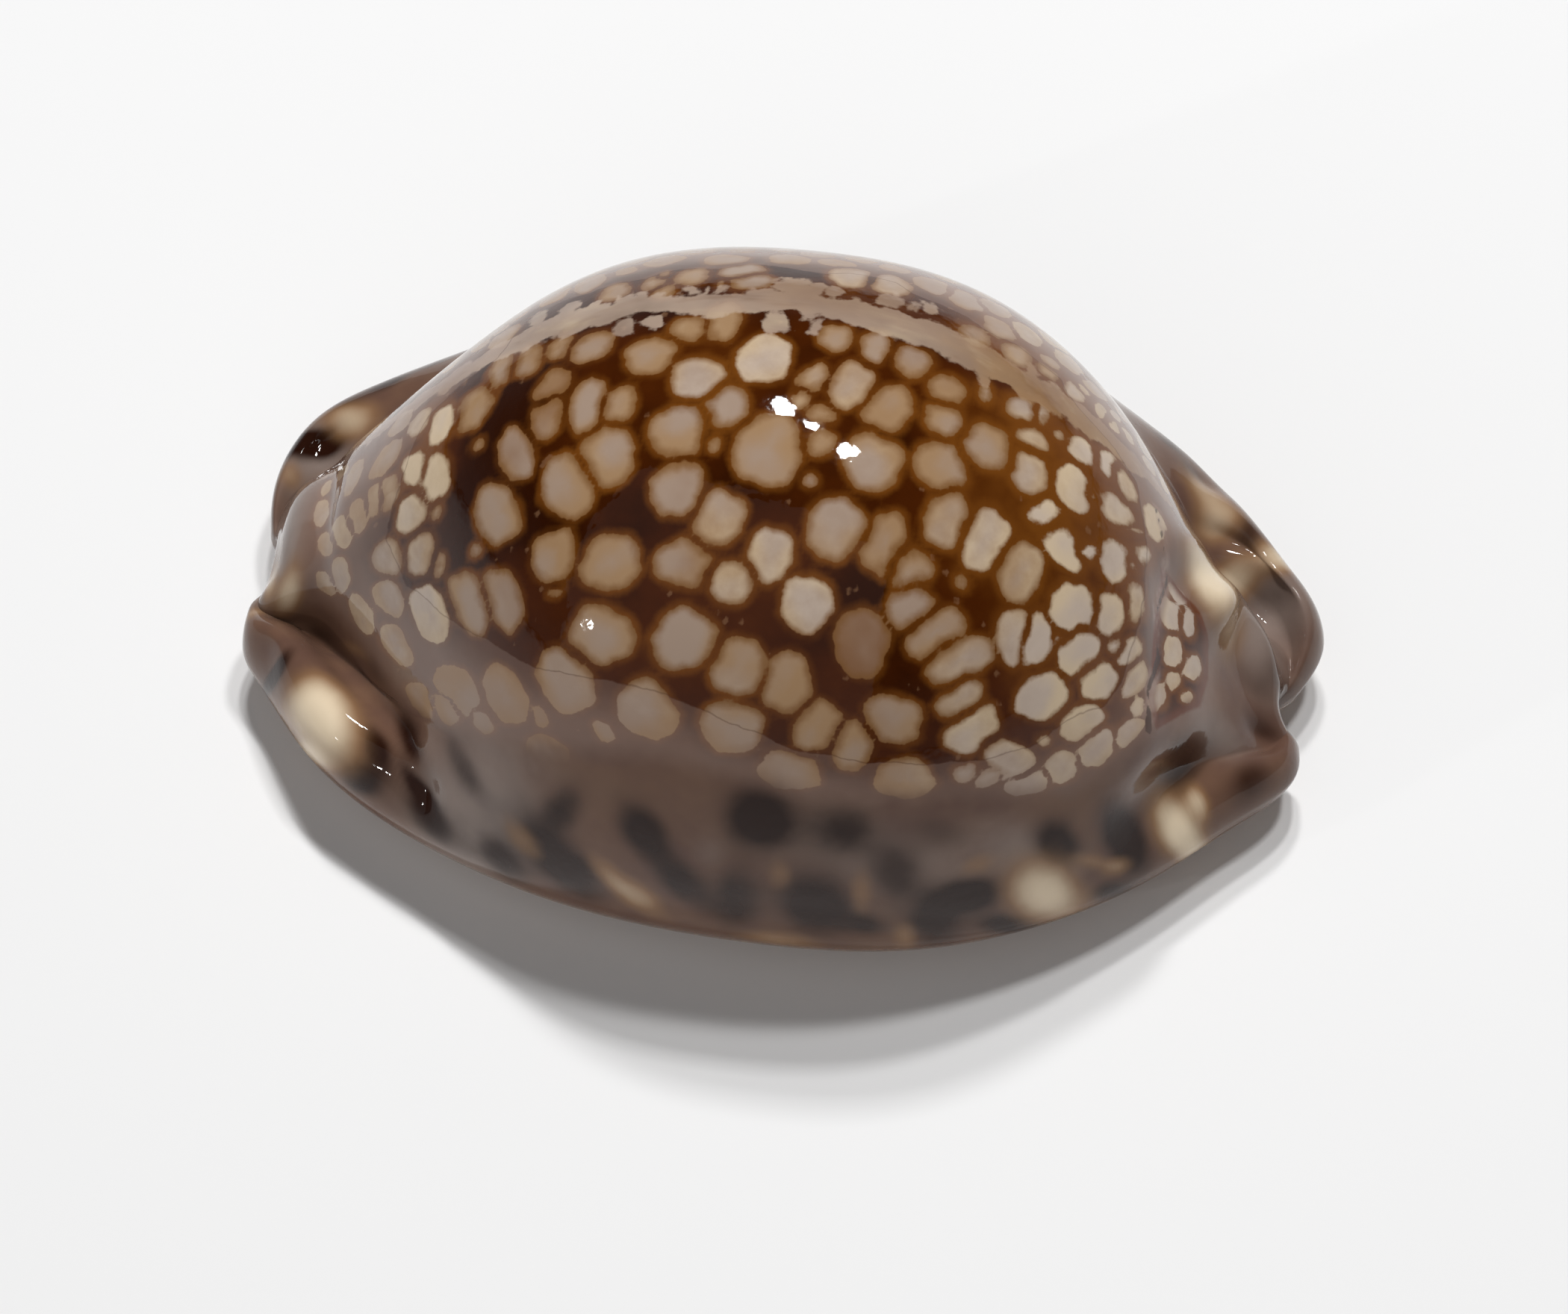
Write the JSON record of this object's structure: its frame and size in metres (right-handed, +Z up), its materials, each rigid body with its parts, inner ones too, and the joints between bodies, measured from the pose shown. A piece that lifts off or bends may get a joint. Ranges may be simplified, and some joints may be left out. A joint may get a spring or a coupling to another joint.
{
  "type": "reticulated cowrie shell",
  "caption": "Glossy egg-shaped cowrie shell with a brown net of pale spots, a thick callused margin and a toothed slit along its base.",
  "frame": {"origin": "on the resting plane, under the middle of the shell's length and width", "axes": "+X along the length from the front end to the spire end, +Y towards the outer lip, +Z up from the base to the domed back"},
  "size_m": [0.0645, 0.0408, 0.0318],
  "materials": {
    "shell": "glossy natural enamel, dark brown net with pale bluish and beige spots, grey-fawn margins with blurred dark blotches"
  },
  "bodies": {
    "root": {"shell": "shell"}
  },
  "joints": []
}
